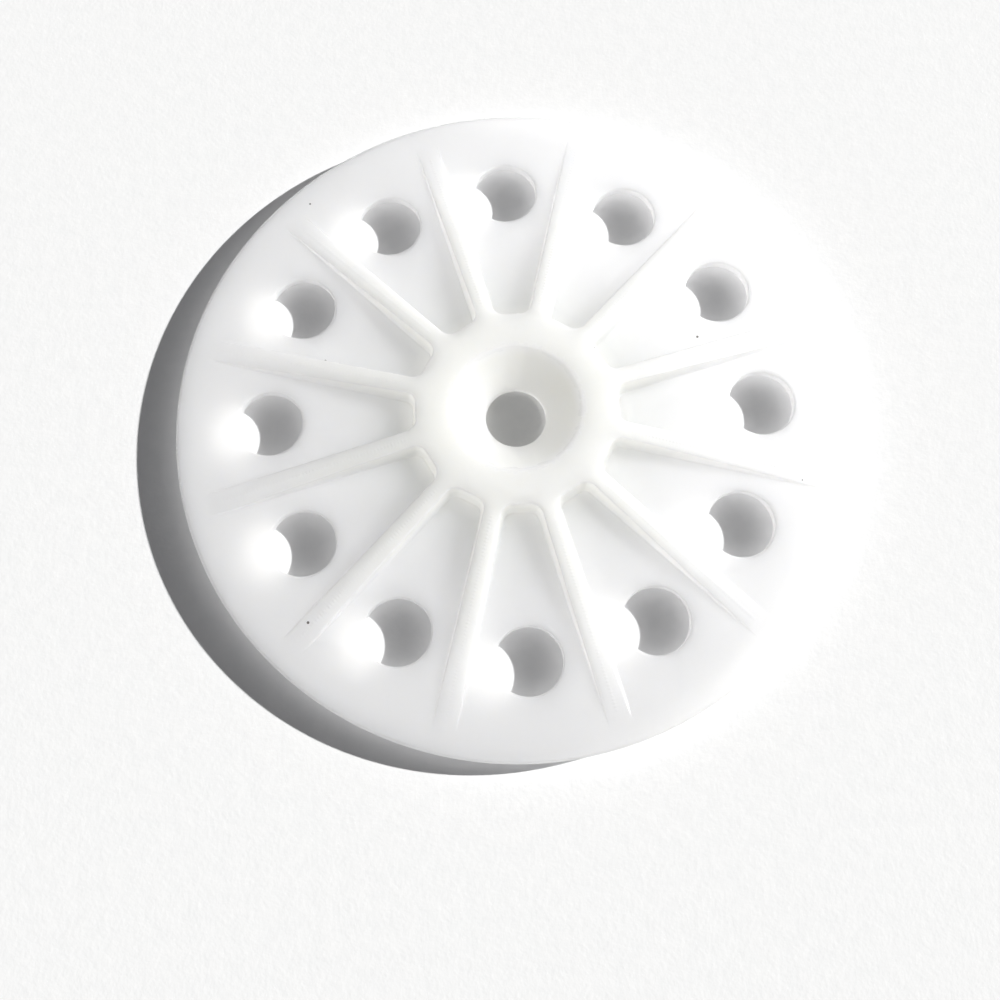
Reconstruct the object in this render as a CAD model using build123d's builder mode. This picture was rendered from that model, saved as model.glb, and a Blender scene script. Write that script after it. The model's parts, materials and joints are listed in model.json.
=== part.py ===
from build123d import *
from math import cos, radians, tan
import os

# Ribbed insulation retaining disc: one injection moulding with a countersunk centre for its screw.
#
# Millimetres, +Z up. The origin is the centre of the flat foot under the hub, so the disc stands on z = 0.

# Driving dimensions
disc_diameter = 60.0
plate_bottom = 0.9
plate_thickness = 0.9
hub_top = 3.6
hub_flat_to_flat = 18.1
foot_diameter = 16.4
screw_hole_diameter = 5.4
countersink_diameter = 11.4
countersink_angle = 90.0
key_hole_diameter = 5.8
key_hole_circle = 43.5
key_hole_count = 12
rib_width = 2.05
rib_end_radius = 27.8
wall_draft = 9.0

# Edge rounding
rim_top_radius = 0.3
rim_bottom_radius = 0.2
pocket_corner_radius = 0.8
foot_edge_radius = 0.3
funnel_lip_radius = 0.3

# Worked out from the driving dimensions
disc_radius = disc_diameter / 2
foot_radius = foot_diameter / 2
plate_top = plate_bottom + plate_thickness
hub_apothem = hub_flat_to_flat / 2
hole_pitch = 360 / key_hole_count
rib_slant = tan(radians(hole_pitch / 2))
rib_half_width_across = rib_width / 2 / cos(radians(hole_pitch / 2))
pocket_outer = disc_radius + rib_width


def pocket_half_width(distance):
    """Half the gap between two neighbouring ribs, at this distance out from the centre."""
    return distance * rib_slant - rib_half_width_across


# Floor of one pocket: a wedge between two ribs, ending at a flat of the twelve-sided hub
with BuildSketch(Plane.XY.offset(plate_top)) as pocket_floor:
    with BuildLine():
        Polyline(
            (hub_apothem, -pocket_half_width(hub_apothem)),
            (pocket_outer, -pocket_half_width(pocket_outer)),
            (pocket_outer, pocket_half_width(pocket_outer)),
            (hub_apothem, pocket_half_width(hub_apothem)),
            close=True,
        )
    make_face()
    fillet(pocket_floor.vertices().group_by(Axis.X)[0], pocket_corner_radius)

with BuildPart() as retaining_disc:
    # Turned blank: foot, plate, sloping shoulder and hub
    with BuildSketch(Plane.XZ) as blank:
        with BuildLine():
            Polyline(
                (0, 0),
                (foot_radius, 0),
                (foot_radius, plate_bottom),
                (disc_radius, plate_bottom),
                (disc_radius, plate_top),
                (rib_end_radius, plate_top),
                (hub_apothem, hub_top),
                (0, hub_top),
                close=True,
            )
        make_face()
        rim_corners = blank.vertices().group_by(Axis.X)[-1].sort_by(Axis.Y)
        fillet(rim_corners[-1], rim_top_radius)
        fillet(rim_corners[0], rim_bottom_radius)
        fillet(blank.vertices().group_by(Axis.Y)[0].sort_by(Axis.X)[-1], foot_edge_radius)
    revolve(axis=Axis.Z)

    # Twelve drafted pockets, leaving the ribs between them
    with BuildSketch(Plane.XY.offset(plate_top)):
        with PolarLocations(0, key_hole_count):
            add(pocket_floor.sketch.moved(Location((0, 0, -plate_top))))
    extrude(amount=hub_top, taper=-wall_draft, mode=Mode.SUBTRACT)

    # Countersunk screw hole
    with Locations((0, 0, hub_top)):
        CounterSinkHole(
            screw_hole_diameter / 2,
            countersink_diameter / 2,
            counter_sink_angle=countersink_angle,
        )
    top_circles = retaining_disc.edges().filter_by(GeomType.CIRCLE).group_by(Axis.Z)[-1]
    fillet(top_circles.sort_by(SortBy.RADIUS)[0], funnel_lip_radius)

    # Ring of open holes through the plate, one in each pocket
    with Locations((0, 0, plate_top)):
        with PolarLocations(key_hole_circle / 2, key_hole_count):
            Hole(key_hole_diameter / 2, depth=plate_thickness)

retaining_disc.part.label = "retaining_disc"

os.makedirs("parts", exist_ok=True)
export_step(retaining_disc.part, "parts/retaining_disc.step")
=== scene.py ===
"""Looks for the ribbed retaining disc: one moulding in translucent natural polypropylene on pale paper.

Shapes are worked out in millimetres in the row frame and turned into metres as the meshes are made.
"""

import json
import bmesh
import bpy
import numpy as np
from math import atan2, cos, pi, radians, sin, sqrt, tan
from mathutils import Matrix, Vector


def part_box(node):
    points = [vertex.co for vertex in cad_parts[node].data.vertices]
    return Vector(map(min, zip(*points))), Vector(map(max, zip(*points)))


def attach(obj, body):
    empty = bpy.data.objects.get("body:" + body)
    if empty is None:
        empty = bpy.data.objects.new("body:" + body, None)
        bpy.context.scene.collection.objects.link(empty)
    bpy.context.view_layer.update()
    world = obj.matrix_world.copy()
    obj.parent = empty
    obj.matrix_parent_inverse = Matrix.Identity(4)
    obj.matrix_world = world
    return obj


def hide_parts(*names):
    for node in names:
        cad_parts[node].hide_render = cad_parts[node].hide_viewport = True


MM = 0.001
NODE = "retaining_disc"

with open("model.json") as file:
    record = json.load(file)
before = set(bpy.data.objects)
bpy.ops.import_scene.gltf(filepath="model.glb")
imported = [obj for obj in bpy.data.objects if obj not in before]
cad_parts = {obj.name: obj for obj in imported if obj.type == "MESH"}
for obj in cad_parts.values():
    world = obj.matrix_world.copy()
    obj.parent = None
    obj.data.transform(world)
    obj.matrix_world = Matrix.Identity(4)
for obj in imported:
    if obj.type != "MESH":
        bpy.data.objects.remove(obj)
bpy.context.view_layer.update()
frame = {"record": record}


# ---------------------------------------------------------------- sizes, in mm, from the frame
def mount(name):
    """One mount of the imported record."""
    return next(m for m in frame["record"]["mounts"] if m["name"] == name)


_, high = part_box(NODE)
DISC_R = high[0] / MM
HUB_TOP = high[2] / MM
HOLES = mount("keying_holes")
CELLS = HOLES["dims"]["count"]
HOLE_R = HOLES["dims"]["hole_r_mm"]
HOLE_RING = HOLES["dims"]["pcd_mm"] / 2
PLATE_TOP = HOLES["pos_m"][2] / MM
PLATE_BOTTOM = mount("board_face")["pos_m"][2] / MM
SCREW_R = mount("screw_bore")["dims"]["r_mm"]
SCREW_LAND = mount("screw_bore")["dims"]["length_mm"]

# Sizes that the record does not hold; they are the CAD's own driving values
HUB_APOTHEM = 9.05
FOOT_R = 8.2
RIB_HALF = 1.025
RIB_END = 27.8
WALL_ANGLE = 81       # degrees up from the floor, a draft of 9
CORNER_R = 0.8
RIM_TOP_R = 0.3
RIM_BOTTOM_R = 0.2
FOOT_EDGE_R = 0.3
LIP_R = 0.3

# Fine detail that only this visual model has
FLOOR_FILLET = 0.14
CREST_ROUND = 0.09
HOLE_EDGE = 0.08
EXIT_EDGE = 0.08      # where the screw hole leaves the foot
STEP_HEIGHT = 0.004
BEAD_HEIGHT = 0.07
BEAD_WIDTH = 0.11

# Limits for building the mesh and its painted edge highlights; nothing on the object ends there
FIELD_END = 28.7      # outer end of a pocket's rows, beyond the ribs
FLOOR_MARGIN = 0.08   # last row of the floor, this far before the wall's fillet
FUNNEL_REACH = 6      # radius that just takes in the countersink's lip

HALF_CELL = pi / CELLS
BOSS = HUB_TOP - PLATE_TOP
RIB_AXIS = np.array([cos(HALF_CELL), sin(HALF_CELL)])
RIB_SIDE = np.array([-sin(HALF_CELL), cos(HALF_CELL)])

# Steps along one half of a pocket's outline, from the hub to the rim
N_FLAT = 12
N_CORNER = 9
N_SIDE = 180
N_OUTER_CORNER = 6
N_ARC = 24
STEPS_PER_MARK = 3


# ---------------------------------------------------------------- the pocket's outline and its offsets
def corner_centres():
    """Centres of the rounded corners of a pocket: by the hub, and by the rim."""
    aside = RIB_HALF + CORNER_R
    inner_station = (HUB_APOTHEM + CORNER_R - aside * sin(HALF_CELL)) / cos(HALF_CELL)
    outer_station = sqrt((FIELD_END - CORNER_R) ** 2 - aside ** 2)
    return [(s * RIB_AXIS - aside * RIB_SIDE, s) for s in (inner_station, outer_station)]


(INNER_C, INNER_STATION), (OUTER_C, OUTER_STATION) = corner_centres()
STATIONS = np.linspace(INNER_STATION, OUTER_STATION, N_SIDE + 1)
MARK_PITCH = STEPS_PER_MARK * (STATIONS[1] - STATIONS[0])


def arc(centre, radius, start, end, steps):
    """Points along an arc, without its last point."""
    angles = np.linspace(start, end, steps + 1)[:-1]
    return np.column_stack([centre[0] + radius * np.cos(angles), centre[1] + radius * np.sin(angles)])


def line(start, end, steps):
    """Points along a straight line, without its last point."""
    share = np.linspace(0, 1, steps + 1)[:-1, None]
    return np.asarray(start) * (1 - share) + np.asarray(end) * share


def close_loop(half, last):
    """A whole outline from its upper half, which runs from the hub side to the rim side."""
    upper = np.vstack([half, [last]])
    lower = upper[-2:0:-1] * [1, -1]
    return np.vstack([upper, lower])


def pocket_loop(grow):
    """The pocket's outline at the floor, moved outwards by grow."""
    flat_x = HUB_APOTHEM - grow
    side = (CORNER_R + grow) * RIB_SIDE
    side_angle = pi / 2 + HALF_CELL
    outer_angle = atan2(OUTER_C[1], OUTER_C[0])
    half = np.vstack([
        line((flat_x, 0), (flat_x, INNER_C[1]), N_FLAT),
        arc(INNER_C, CORNER_R + grow, pi, side_angle, N_CORNER),
        line(INNER_C + side, OUTER_C + side, N_SIDE),
        arc(OUTER_C, CORNER_R + grow, side_angle, outer_angle, N_OUTER_CORNER),
        arc((0, 0), FIELD_END + grow, outer_angle, 0, N_ARC),
    ])
    return close_loop(half, (FIELD_END + grow, 0))


def cell_loop(inner_r, outer_r):
    """The border of one cell: two rib centre lines, an arc at the hub and an arc at the rim."""
    half = np.vstack([
        arc((0, 0), inner_r, 0, HALF_CELL, N_FLAT),
        line(inner_r * RIB_AXIS, INNER_STATION * RIB_AXIS, N_CORNER),
        line(INNER_STATION * RIB_AXIS, OUTER_STATION * RIB_AXIS, N_SIDE),
        line(OUTER_STATION * RIB_AXIS, outer_r * RIB_AXIS, N_OUTER_CORNER),
        arc((0, 0), outer_r, HALF_CELL, 0, N_ARC),
    ])
    return close_loop(half, (outer_r, 0))


def hole_loop(radius):
    """A circle round the open hole, each point facing its own point of the pocket's outline."""
    reach = pocket_loop(0) - [HOLE_RING, 0]
    reach /= np.hypot(reach[:, 0], reach[:, 1])[:, None]
    return reach * radius + [HOLE_RING, 0]


# ---------------------------------------------------------------- heights
def shoulder(radius):
    """Height of the hub and rib tops above the plate: flat on the hub, then sloping to nothing."""
    slope = BOSS / (RIB_END - HUB_APOTHEM)
    rise = ease_to_zero((RIB_END - np.asarray(radius)) * slope, 0.03)
    return BOSS - ease_to_zero(BOSS - rise, 0.05)


def ease_to_zero(value, soft):
    """The value where positive, zero where negative, with a short soft bend between them."""
    bend = (value + soft) ** 2 / (4 * soft)
    return np.where(value > soft, value, np.where(value < -soft, 0.0, bend))


def tool_marks(points):
    """Cutter marks in the rib tops: heights of the fine cross steps, and of the beads along the middle."""
    x, y = points[:, 0], np.abs(points[:, 1])
    along = x * RIB_AXIS[0] + y * RIB_AXIS[1]
    aside = x * RIB_SIDE[0] + y * RIB_SIDE[1]
    inner_ease = np.clip((along - INNER_STATION) / 0.8, 0, 1)
    outer_ease = np.clip((OUTER_STATION - 0.6 - along) / 0.8, 0, 1)
    ease = inner_ease * outer_ease
    wave = np.cos(2 * pi * (along - INNER_STATION) / MARK_PITCH)
    steps = STEP_HEIGHT * wave * np.clip(1.3 - np.abs(aside) / 0.6, 0, 1)
    beads = BEAD_HEIGHT * np.clip(wave, 0, 1) * np.exp(-(aside / BEAD_WIDTH) ** 2)
    return ease * steps, ease * beads


# ---------------------------------------------------------------- mesh building
class Shell:
    """Collects rings of points as quads; neighbours are welded at the end."""

    def __init__(self):
        self.points = []
        self.faces = []
        self.painted_highlight_and_gloss = []
        self.count = 0

    def rings(self, rows, painted_highlight_and_gloss):
        """Adds closed rows of x, y, z points joined into quads, with each row's share of the painted
        highlight and lower roughness.
        """
        length = len(rows[0])
        self.painted_highlight_and_gloss += [np.broadcast_to(share, length) for share in painted_highlight_and_gloss]
        base = self.count
        self.points.extend(rows)
        self.count += length * len(rows)
        across = np.arange(length)
        beyond = (across + 1) % length
        for row in range(len(rows) - 1):
            here, there = base + row * length, base + (row + 1) * length
            corners = [here + across, here + beyond, there + beyond, there + across]
            self.faces.append(np.column_stack(corners))

    def build(self, name):
        """The welded, smooth-shaded object, in metres."""
        mesh = bpy.data.meshes.new(name)
        points = np.vstack(self.points) * MM
        mesh.from_pydata(points.tolist(), [], np.vstack(self.faces).tolist())
        # The 'edge' attribute: painted highlight (a lighter colour) and lower roughness, row by row
        mesh.attributes.new("edge", "FLOAT", "POINT").data.foreach_set("value", np.concatenate(self.painted_highlight_and_gloss))
        work = bmesh.new()
        work.from_mesh(mesh)
        bmesh.ops.remove_doubles(work, verts=work.verts, dist=1e-7)
        bmesh.ops.recalc_face_normals(work, faces=work.faces)
        for face in work.faces:
            face.smooth = True
        work.to_mesh(mesh)
        work.free()
        piece = bpy.data.objects.new(name, mesh)
        bpy.context.scene.collection.objects.link(piece)
        return piece


def lift(points, height):
    """Adds a height to points in the plane."""
    return np.column_stack([points, np.broadcast_to(height, len(points))])


def hole_rows():
    """The wall of one open hole with its softened edges, from the underside up."""
    soft = HOLE_EDGE * (1 - cos(pi / 4))
    profile = [
        (HOLE_EDGE, PLATE_BOTTOM), (soft, PLATE_BOTTOM + soft), (0, PLATE_BOTTOM + HOLE_EDGE),
        (0, PLATE_TOP - HOLE_EDGE), (soft, PLATE_TOP - soft), (HOLE_EDGE, PLATE_TOP),
    ]
    return [lift(hole_loop(HOLE_R + grow), height) for grow, height in profile]


def wall_rows():
    """The pocket's wall as (grow, height) arrays: floor fillet, drafted side, crest. And its full height."""
    reference = pocket_loop(0)
    wall = shoulder(np.hypot(reference[:, 0], reference[:, 1]))
    both = FLOOR_FILLET + CREST_ROUND
    steep = np.arccos(np.clip(1 - wall / both, cos(radians(WALL_ANGLE)), 0.99))
    straight = np.maximum(wall - both * (1 - np.cos(steep)), 0)
    start = -FLOOR_FILLET * np.tan(steep / 2)
    total = both * (1 - np.cos(steep)) + straight
    rows = []
    for share in np.linspace(0, 1, 6):
        turn = steep * share
        rows.append((start + FLOOR_FILLET * np.sin(turn), FLOOR_FILLET * (1 - np.cos(turn))))
    foot, base = rows[-1]
    for share in (0.33, 0.67, 1.0):
        rows.append((foot + straight * share / np.tan(steep), base + straight * share))
    foot = rows[-1][0]
    for share in (0.75, 0.5, 0.25, 0.0):
        turn = steep * share
        grow = foot + CREST_ROUND * (np.sin(steep) - np.sin(turn))
        rows.append((grow, total - CREST_ROUND * (1 - np.cos(turn))))
    return [(grow, height * wall / total) for grow, height in rows], wall


def grown_loop(grow):
    """The pocket's outline moved outwards by a different amount at each point."""
    step = 0.01
    direction = (pocket_loop(step) - pocket_loop(0)) / step
    return pocket_loop(0) + direction * np.asarray(grow)[:, None]


def cell_rows():
    """All rows of one cell, from the underside through the hole and over the top to the rib lines."""
    bottom_border = cell_loop(FOOT_R + LIP_R, DISC_R - RIM_BOTTOM_R)
    top_border = cell_loop(SCREW_R + (HUB_TOP - SCREW_LAND) + LIP_R, DISC_R - RIM_TOP_R)
    hole = hole_rows()
    rows = []
    for share in (1.0, 0.8, 0.6, 0.4, 0.2, 0.06):
        rows.append(lift(bottom_border * share + hole[0][:, :2] * (1 - share), PLATE_BOTTOM))
    painted_highlight_and_gloss = [0.0] * len(rows)
    rows += hole
    # Painted highlight on the hole's top edge
    painted_highlight_and_gloss += [0, 0, 0, 0, 1, 1]
    walls, wall = wall_rows()
    foot = grown_loop(walls[0][0] - FLOOR_MARGIN)
    for share in (0.04, 0.14, 0.32, 0.52, 0.72, 0.9, 1.0):
        rows.append(lift(hole[-1][:, :2] * (1 - share) + foot * share, PLATE_TOP))
        painted_highlight_and_gloss.append(0)
    for index, (grow, height) in enumerate(walls):
        points = grown_loop(grow)
        true_top = shoulder(np.hypot(points[:, 0], points[:, 1]))
        reached = height / np.maximum(wall, 1e-6)
        rows.append(lift(points, PLATE_TOP + height + (true_top - wall) * reached))
        # Painted highlight on the wall's crest, fading where the rib is low
        painted_highlight_and_gloss.append(np.clip(wall / 0.5, 0, 1) * (index >= len(walls) - 4))
    edge = grown_loop(walls[-1][0])
    for share in (0.12, 0.36, 0.58, 0.73, 0.84, 0.92, 1.0):
        points = edge * (1 - share) + top_border * share
        top = shoulder(np.hypot(points[:, 0], points[:, 1]))
        steps, beads = tool_marks(points)
        rows.append(lift(points, PLATE_TOP + top + steps + beads))
        # Painted highlight on the bead tops
        painted_highlight_and_gloss.append(0.8 * beads / BEAD_HEIGHT)
    return rows, painted_highlight_and_gloss


def turned(rows, angle):
    """Rows turned about the disc's axis."""
    turn = np.array([[cos(angle), sin(angle), 0], [-sin(angle), cos(angle), 0], [0, 0, 1]])
    return [row @ turn for row in rows]


def revolve_rows(profile, steps_per_cell):
    """Rings of a turned surface from (radius, height) points."""
    angles = np.arange(CELLS * steps_per_cell) * (2 * pi / (CELLS * steps_per_cell))
    ring = np.column_stack([np.cos(angles), np.sin(angles)])
    return [lift(ring * radius, height) for radius, height in profile]


def quarter(centre, radius, start, end, steps=5):
    """(radius, height) points along an arc of a turned profile, angles in degrees, both ends included."""
    angles = np.radians(np.linspace(start, end, steps + 1))
    return [(centre[0] + radius * cos(a), centre[1] + radius * sin(a)) for a in angles]


def hub_profile():
    """From the hub's flat top down the countersink, through the screw hole and out over the foot."""
    mouth = SCREW_R + HUB_TOP - SCREW_LAND
    lip_run = LIP_R * tan(radians(22.5))
    throat = 0.15
    profile = [(mouth + LIP_R, HUB_TOP)]
    profile += quarter((mouth + lip_run, HUB_TOP - LIP_R), LIP_R, 90, 135)
    for share in (0.25, 0.5, 0.75):
        height = HUB_TOP + (SCREW_LAND - HUB_TOP) * share
        profile.append((mouth + (SCREW_R - mouth) * share, height))
    profile += [(SCREW_R + throat, SCREW_LAND + throat), (SCREW_R + 0.02, SCREW_LAND - 0.02)]
    profile += [(SCREW_R, SCREW_LAND - throat), (SCREW_R, EXIT_EDGE)]
    face_start = SCREW_R + EXIT_EDGE
    face_run = FOOT_R - FOOT_EDGE_R - face_start
    profile += [(SCREW_R + 0.3 * EXIT_EDGE, 0.3 * EXIT_EDGE), (face_start, 0)]
    for share in (0.04, 0.3, 0.65, 0.97):
        profile.append((face_start + face_run * share, 0))
    profile += quarter((FOOT_R - FOOT_EDGE_R, FOOT_EDGE_R), FOOT_EDGE_R, -90, 0)
    profile += [(FOOT_R, PLATE_BOTTOM - 0.3)]
    profile += quarter((FOOT_R + LIP_R, PLATE_BOTTOM - LIP_R), LIP_R, 180, 90)[1:]
    return profile


def rim_profile():
    """The rim's rounded edges and its side."""
    top = quarter((DISC_R - RIM_TOP_R, PLATE_TOP - RIM_TOP_R), RIM_TOP_R, 90, 0)
    bottom = quarter((DISC_R - RIM_BOTTOM_R, PLATE_BOTTOM + RIM_BOTTOM_R), RIM_BOTTOM_R, 0, -90)
    return top + bottom


def make_disc():
    """The whole moulding as one closed skin."""
    shell = Shell()
    cell, cell_painted_highlight_and_gloss = cell_rows()
    for index in range(CELLS):
        shell.rings(turned(cell, 2 * HALF_CELL * index), cell_painted_highlight_and_gloss)
    hub, rim = hub_profile(), rim_profile()
    # Painted highlight on the countersink's lip and on the rim's top edge
    lip_painted_highlight_and_gloss = [float(height > HUB_TOP - LIP_R and radius < FUNNEL_REACH) for radius, height in hub]
    rim_painted_highlight_and_gloss = [float(PLATE_TOP - 0.2 < height < PLATE_TOP - 0.01) for _, height in rim]
    shell.rings(revolve_rows(hub, 2 * N_FLAT), lip_painted_highlight_and_gloss)
    shell.rings(revolve_rows(rim, 2 * N_ARC), rim_painted_highlight_and_gloss)
    return shell.build("retaining_disc_moulding")


# ---------------------------------------------------------------- materials
PLATE_TINT = (0.90, 0.905, 0.905, 1)
PAINTED_FOOT_SHADE_TINT = (0.69, 0.705, 0.69, 1)     # painted shade: darker where the foot keeps light on the paper from coming up through the plate
THICK_TINT = (0.90, 0.905, 0.85, 1)         # ivory in the hub and the ribs
CLOUD_TINT = (0.93, 0.93, 0.92, 1)
# Painted highlight colour for crests, edges and bead tops
PAINTED_HIGHLIGHT_TINT = (0.99, 0.99, 0.98, 1)
SPECK_TINT = (0.10, 0.09, 0.08, 1)
INNER_GLOW = (0.905, 0.898, 0.902, 1)


class Nodes:
    """Short calls for building a node material."""

    def __init__(self, name):
        self.material = bpy.data.materials.new(name)
        self.material.use_nodes = True
        self.tree = self.material.node_tree
        self.tree.nodes.clear()

    def add(self, kind, values=None, **settings):
        node = self.tree.nodes.new(kind)
        for key, value in settings.items():
            setattr(node, key, value)
        for key, value in (values or {}).items():
            if isinstance(value, bpy.types.NodeSocket):
                self.tree.links.new(value, node.inputs[key])
            else:
                node.inputs[key].default_value = value
        return node

    def math(self, operation, first, second=0.0):
        return self.add("ShaderNodeMath", {0: first, 1: second}, operation=operation).outputs[0]

    def remap(self, value, start, end, low_value, high_value):
        node = self.add("ShaderNodeMapRange", {0: value, 1: start, 2: end, 3: low_value, 4: high_value})
        return node.outputs[0]

    def mix(self, share, first, second):
        node = self.add("ShaderNodeMix", data_type="RGBA")
        for socket, value in ((node.inputs[0], share), (node.inputs[6], first), (node.inputs[7], second)):
            if isinstance(value, bpy.types.NodeSocket):
                self.tree.links.new(value, socket)
            else:
                socket.default_value = value
        return node.outputs[2]


def polypropylene():
    """Natural polypropylene: milky and translucent, ivory where thick, with specks and faint scuffs; with
    painted shade round the hub over the foot and painted highlights on edges and bead tops.

    The Translucent and Transparent shares stand in for light inside the plastic. Subsurface scattering alone
    leaves the shadow sides of the thin ribs dark and sends no light down to the paper.
    """
    n = Nodes("natural_polypropylene")
    place = n.add("ShaderNodeTexCoord").outputs["Object"]
    apart = n.add("ShaderNodeSeparateXYZ", {0: place})
    radius = n.add("ShaderNodeVectorMath", {0: n.add("ShaderNodeCombineXYZ", {
        0: apart.outputs[0], 1: apart.outputs[1]}).outputs[0]}, operation="LENGTH").outputs["Value"]
    thick = n.remap(radius, 10.5 * MM, 8.5 * MM, 0.0, 1.0)
    rib_top = n.remap(apart.outputs[2], (PLATE_TOP + 0.2) * MM, (PLATE_TOP + 1.2) * MM, 0.0, 1.0)
    cloud = n.add("ShaderNodeTexNoise", {"Vector": place, "Scale": 90.0, "Detail": 3.0}).outputs[0]
    # Painted shade: the plate darker round the hub, over the foot, where less light comes up from the paper
    painted_foot_shade_share = n.remap(radius, 18 * MM, 9.5 * MM, 0.0, 1.0)
    plate_tint_and_foot_shade = n.mix(painted_foot_shade_share, PLATE_TINT, PAINTED_FOOT_SHADE_TINT)
    tint = n.mix(n.math("MAXIMUM", thick, rib_top), plate_tint_and_foot_shade, THICK_TINT)
    tint = n.mix(n.remap(cloud, 0.35, 0.7, 0.0, 0.35), tint, CLOUD_TINT)
    cells = n.add("ShaderNodeTexVoronoi", {"Vector": place, "Scale": 120.0}, voronoi_dimensions="2D")
    lot = n.add("ShaderNodeSeparateXYZ", {0: cells.outputs["Color"]}).outputs
    size = n.remap(lot[1], 0, 1, 0.006, 0.015)
    speck = n.math("MULTIPLY", n.math("GREATER_THAN", lot[0], 0.8),
                   n.math("LESS_THAN", cells.outputs["Distance"], size))
    edge = n.add("ShaderNodeAttribute", attribute_name="edge").outputs["Fac"]
    # Painted highlight: a lighter colour on crests, the hole, rim and lip edges and the bead tops, standing
    # in for glints and glow
    tint = n.mix(n.math("MULTIPLY", edge, 0.35), tint, PAINTED_HIGHLIGHT_TINT)
    tint = n.mix(speck, tint, SPECK_TINT)
    fine = n.add("ShaderNodeTexNoise", {"Vector": place, "Scale": 900.0, "Detail": 4.0}).outputs[0]
    scuffs = n.add("ShaderNodeTexNoise", {"Vector": n.add("ShaderNodeMapping", {
        0: place, 2: (0, 0, 0.6), 3: (260, 2600, 300)}).outputs[0], "Scale": 1.0, "Detail": 2.0}).outputs[0]
    scuff = n.remap(scuffs, 0.5, 0.8, 0.0, 1.0)
    rough = n.math("ADD", n.remap(fine, 0.3, 0.7, 0.34, 0.40), n.math("MULTIPLY", scuff, 0.05))
    rough = n.math("SUBTRACT", rough, n.math("MULTIPLY", edge, 0.12))
    height = n.math("ADD", n.math("MULTIPLY", cloud, 0.6), n.math("MULTIPLY", fine, 0.05))
    bump = n.add("ShaderNodeBump", {"Height": height, "Strength": 0.25, "Distance": 0.2 * MM}).outputs[0]
    skin = n.add("ShaderNodeBsdfPrincipled", {
        "Base Color": tint, "Roughness": rough, "IOR": 1.49, "Normal": bump,
        "Subsurface Weight": 1.0, "Subsurface Radius": (1.0, 0.97, 0.9),
        "Subsurface Scale": n.remap(thick, 0, 1, 4.2 * MM, 6.5 * MM),
    })
    skin.subsurface_method = "RANDOM_WALK"
    rays = n.add("ShaderNodeLightPath").outputs
    glow = n.add("ShaderNodeBsdfTranslucent", {0: INNER_GLOW}).outputs[0]
    surface = n.add("ShaderNodeNewGeometry").outputs
    facing = n.add("ShaderNodeSeparateXYZ", {0: surface["True Normal"]}).outputs[2]
    steep_share = n.remap(n.math("ABSOLUTE", facing), 0.95, 0.3, 0.1, 0.2)
    glow_share = n.math("MAXIMUM", steep_share, n.math("MULTIPLY", rays["Is Diffuse Ray"], 0.5))
    body = n.add("ShaderNodeMixShader", {0: glow_share, 1: skin.outputs[0], 2: glow}).outputs[0]

    # What a shadow ray keeps: 0.9 on its way out of the plastic; on its way in, more where a rib is low
    inside = surface["Backfacing"]
    raised = n.math("GREATER_THAN", apart.outputs[2], (PLATE_TOP + 0.01) * MM)
    thin = n.remap(apart.outputs[2], (PLATE_TOP + 0.1) * MM, (PLATE_TOP + 0.9) * MM, 0.6, 0.04)
    raised = n.math("MULTIPLY", raised, n.math("GREATER_THAN", radius, 6.3 * MM))
    passing = n.math("MAXIMUM", n.math("MULTIPLY", inside, 0.9), n.math("MULTIPLY", raised, thin))
    passing = n.math("MULTIPLY", passing, rays["Is Shadow Ray"])
    through = n.add("ShaderNodeBsdfTransparent").outputs[0]
    body = n.add("ShaderNodeMixShader", {0: passing, 1: body, 2: through}).outputs[0]
    n.add("ShaderNodeOutputMaterial", {"Surface": body})
    return n.material


def paper():
    """Plain pale paper with a fine tooth."""
    n = Nodes("pale_paper")
    place = n.add("ShaderNodeTexCoord").outputs["Object"]
    tooth = n.add("ShaderNodeTexNoise", {"Vector": place, "Scale": 2600.0, "Detail": 4.0}).outputs[0]
    fibre = n.add("ShaderNodeTexNoise", {"Vector": place, "Scale": 800.0, "Detail": 5.0}).outputs[0]
    tint = n.mix(n.remap(fibre, 0.3, 0.7, 0, 1), (0.88, 0.885, 0.89, 1), (0.91, 0.912, 0.915, 1))
    height = n.math("ADD", tooth, fibre)
    bump = n.add("ShaderNodeBump", {"Height": height, "Strength": 0.3, "Distance": 0.04 * MM}).outputs[0]
    skin = n.add("ShaderNodeBsdfPrincipled", {"Base Color": tint, "Roughness": 0.9, "Normal": bump,
                                              "Specular IOR Level": 0.2})
    n.add("ShaderNodeOutputMaterial", {"Surface": skin.outputs[0]})
    return n.material


# ---------------------------------------------------------------- stage, light, camera
def make_floor():
    """A wide sheet of paper under the foot."""
    half = 1.5
    mesh = bpy.data.meshes.new("paper_floor")
    corners = [(-half, -half, 0), (half, -half, 0), (half, half, 0), (-half, half, 0)]
    mesh.from_pydata(corners, [], [(0, 1, 2, 3)])
    floor = bpy.data.objects.new("paper_floor", mesh)
    floor.location.z = -0.02 * MM
    floor.data.materials.append(paper())
    bpy.context.scene.collection.objects.link(floor)
    return floor


def sun(name, towards, energy, angle, color, lit, diffuse=True, glossy=True):
    """A distant lamp that lights only one object, whose shadows are as soft as its angle."""
    data = bpy.data.lights.new(name, "SUN")
    data.energy = energy
    data.angle = radians(angle)
    data.color = color
    lamp = bpy.data.objects.new(name, data)
    lamp.rotation_euler = Vector(towards).to_track_quat("Z", "Y").to_euler()
    lamp.visible_diffuse = diffuse
    lamp.visible_glossy = glossy
    link_light(lamp, lit)


def link_light(lamp, lit):
    """Puts a lamp in the scene so that it lights only one object."""
    receivers = bpy.data.collections.new(lamp.name + "_lights")
    receivers.objects.link(lit)
    lamp.light_linking.receiver_collection = receivers
    bpy.context.scene.collection.objects.link(lamp)


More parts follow.
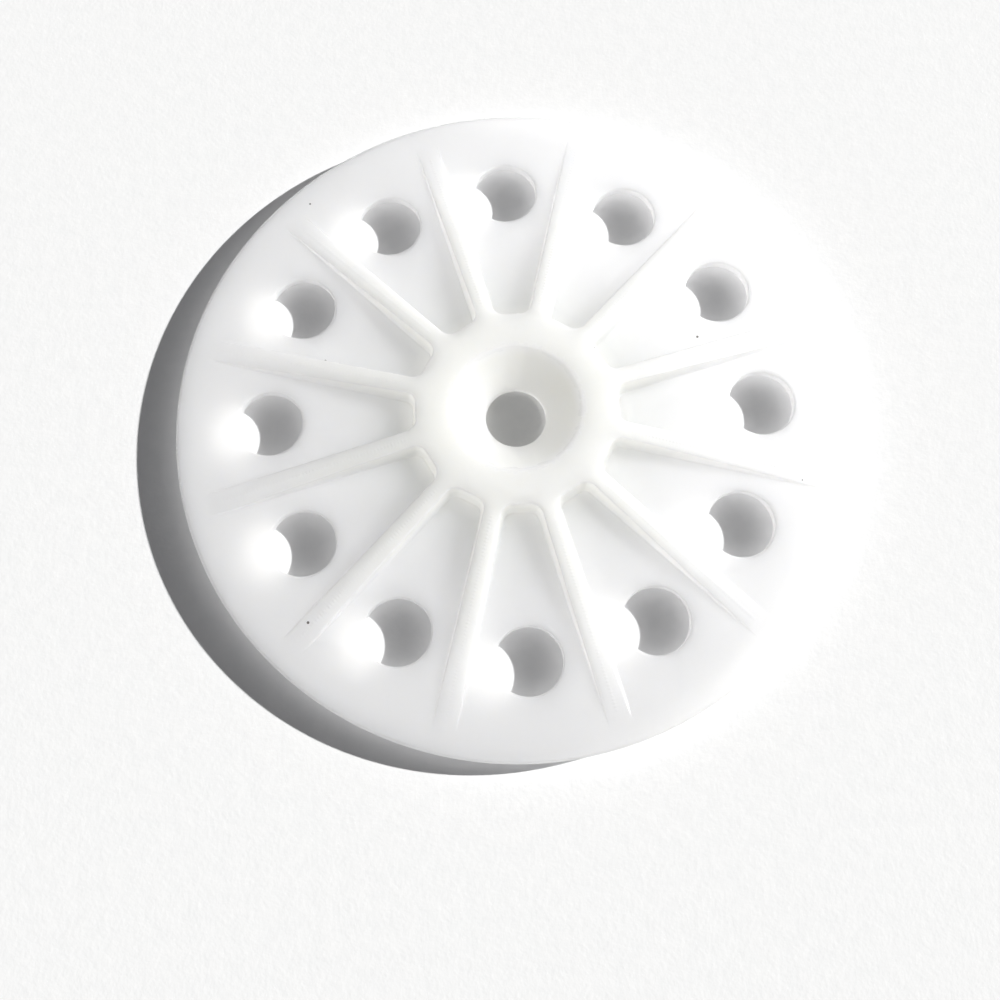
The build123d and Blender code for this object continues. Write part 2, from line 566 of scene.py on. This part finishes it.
def make_light(disc, floor):
    """A low key from the right, crisp on the paper, steeper and softer in the plastic; and an even fill."""
    key = (2.32, 0.46, 1.0)
    warm = (1.0, 0.995, 0.98)
    sun("key_on_paper", key, 7.2, 1.0, warm, floor)
    sun("key_in_plastic", (1.85, 0.16, 1.0), 2.15, 24, warm, disc, glossy=False)
    sun("top_in_plastic", (0.25, -0.25, 1.0), 0.9, 100, warm, disc, glossy=False)
    sun("key_shine", key, 9.0, 1.5, warm, disc, diffuse=False)
    window = bpy.data.lights.new("window", "AREA")
    window.energy = 0.05
    window.size = 50 * MM
    pane = bpy.data.objects.new("window", window)
    pane.location = Vector((66, 40, 72)) * MM
    pane.rotation_euler = Vector((60, 38, 70)).to_track_quat("Z", "Y").to_euler()
    link_light(pane, disc)
    world = bpy.data.worlds.new("studio")
    world.use_nodes = True
    tree = world.node_tree
    tree.nodes.clear()
    fill = tree.nodes.new("ShaderNodeBackground")
    fill.inputs[0].default_value = (0.945, 0.945, 0.97, 1)
    fill.inputs[1].default_value = 0.16
    seen = tree.nodes.new("ShaderNodeBackground")
    seen.inputs[0].default_value = (0.93, 0.93, 0.935, 1)
    seen.inputs[1].default_value = 1.0
    rays = tree.nodes.new("ShaderNodeLightPath")
    blend = tree.nodes.new("ShaderNodeMixShader")
    out = tree.nodes.new("ShaderNodeOutputWorld")
    tree.links.new(rays.outputs["Is Camera Ray"], blend.inputs[0])
    tree.links.new(fill.outputs[0], blend.inputs[1])
    tree.links.new(seen.outputs[0], blend.inputs[2])
    tree.links.new(blend.outputs[0], out.inputs[0])
    bpy.context.scene.world = world


def make_camera():
    """A close camera, high above the near edge and looking down at the disc."""
    data = bpy.data.cameras.new("camera")
    data.sensor_width = 36.0
    data.lens = 36.8
    data.clip_start = 1 * MM
    camera = bpy.data.objects.new("camera", data)
    place = Vector((-2.76, -29.8, 87.3)) * MM
    aim = Vector((-1.78, -7.88, 2.0)) * MM
    ahead = (aim - place).normalized()
    across = ahead.cross(Vector((0, 0, 1))).normalized()
    above = across.cross(ahead)
    turn = Matrix((across, above, -ahead)).transposed()
    camera.matrix_world = Matrix.Translation(place) @ turn.to_4x4()
    bpy.context.scene.collection.objects.link(camera)
    bpy.context.scene.camera = camera


disc = make_disc()
disc.data.materials.append(polypropylene())
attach(disc, "root")
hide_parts(NODE)

paper_floor = make_floor()
make_light(disc, paper_floor)
make_camera()
bpy.context.scene.view_settings.view_transform = "Standard"
